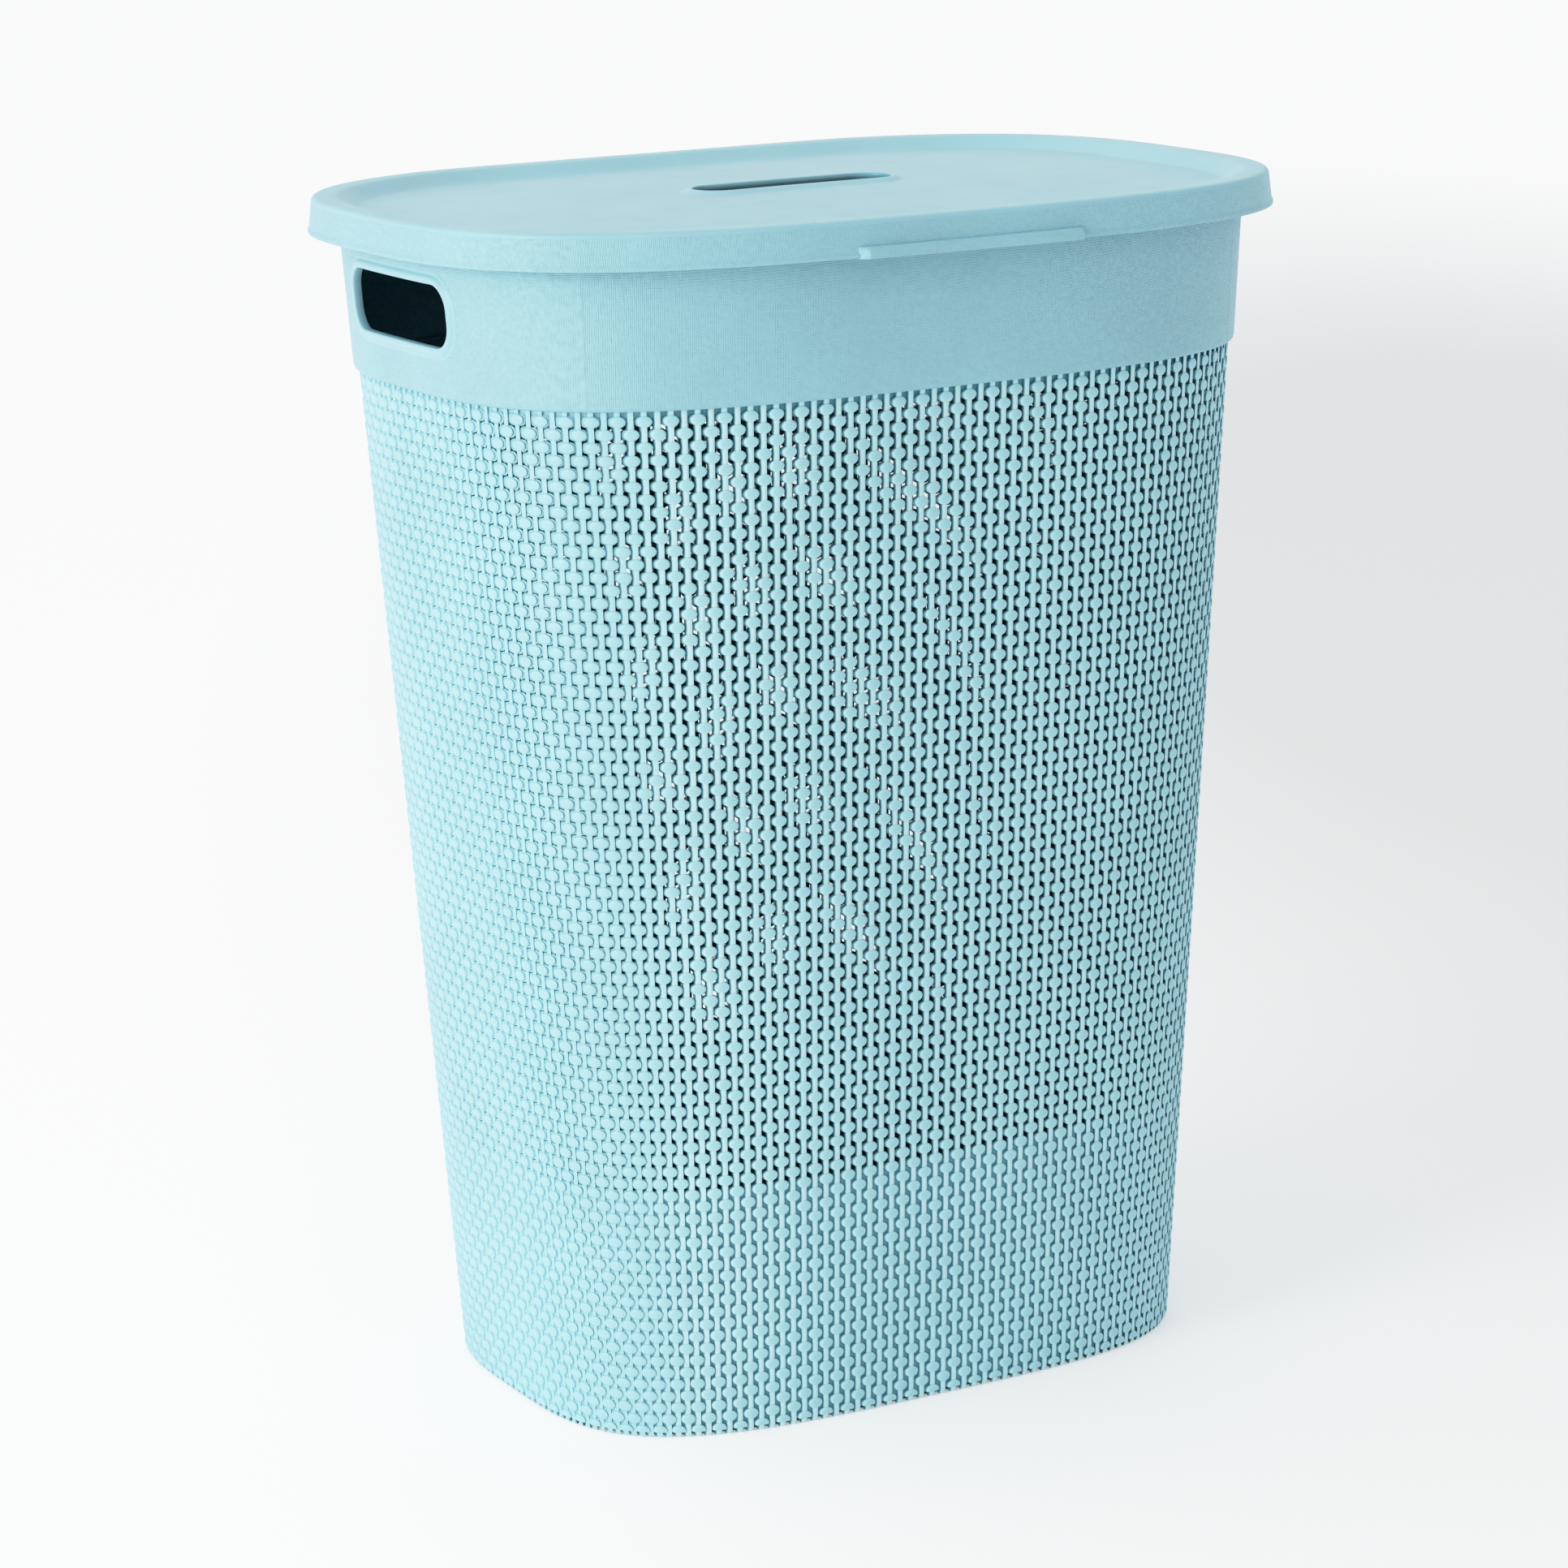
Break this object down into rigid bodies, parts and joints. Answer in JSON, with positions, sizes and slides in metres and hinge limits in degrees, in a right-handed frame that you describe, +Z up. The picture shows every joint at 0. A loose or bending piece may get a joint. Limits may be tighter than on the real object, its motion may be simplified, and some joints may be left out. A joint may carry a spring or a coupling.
{
  "type": "laundry hamper with lid",
  "caption": "Tall tapered oval plastic laundry hamper with a woven-look open wall, a smooth collar with end handle openings, and a hinged lid with a hand slot.",
  "frame": {"origin": "centre of the bounding box at the floor, on the left-right symmetry plane; the hamper stands on z = 0", "axes": "+X to the right end, +Y to the back where the lid's hinges are, +Z up; the lid's lifting tab faces -Y"},
  "size_m": [0.481, 0.3536, 0.615],
  "materials": {
    "woven_plastic": "satin moulded polypropylene with a knitted relief",
    "tub_plastic": "satin moulded polypropylene with a fine linen texture",
    "lid_plastic": "satin moulded polypropylene, smooth on top and linen textured on the skirt"
  },
  "bodies": {
    "tub": {"woven_wall": "woven_plastic", "floor_panel": "tub_plastic", "collar_band": "tub_plastic", "tub_rim": "tub_plastic", "handle_bezel_left": "tub_plastic", "handle_bezel_right": "tub_plastic", "hinge_bracket_left": "tub_plastic", "hinge_bracket_right": "tub_plastic", "hinge_pin_left": "tub_plastic", "hinge_pin_right": "tub_plastic"},
    "lid": {"lid_panel": "lid_plastic", "lid_rim": "lid_plastic", "lid_skirt": "lid_plastic", "slot_bezel": "lid_plastic", "lifting_tab": "lid_plastic", "hinge_clip_left": "lid_plastic", "hinge_clip_right": "lid_plastic"}
  },
  "joints": [
    {"name": "lid_hinge", "type": "hinge", "parent": "tub", "child": "lid", "pos_m": [0, 0.1723, 0.5915], "axis": [-1, 0, 0], "range_deg": [0, 105]}
  ]
}
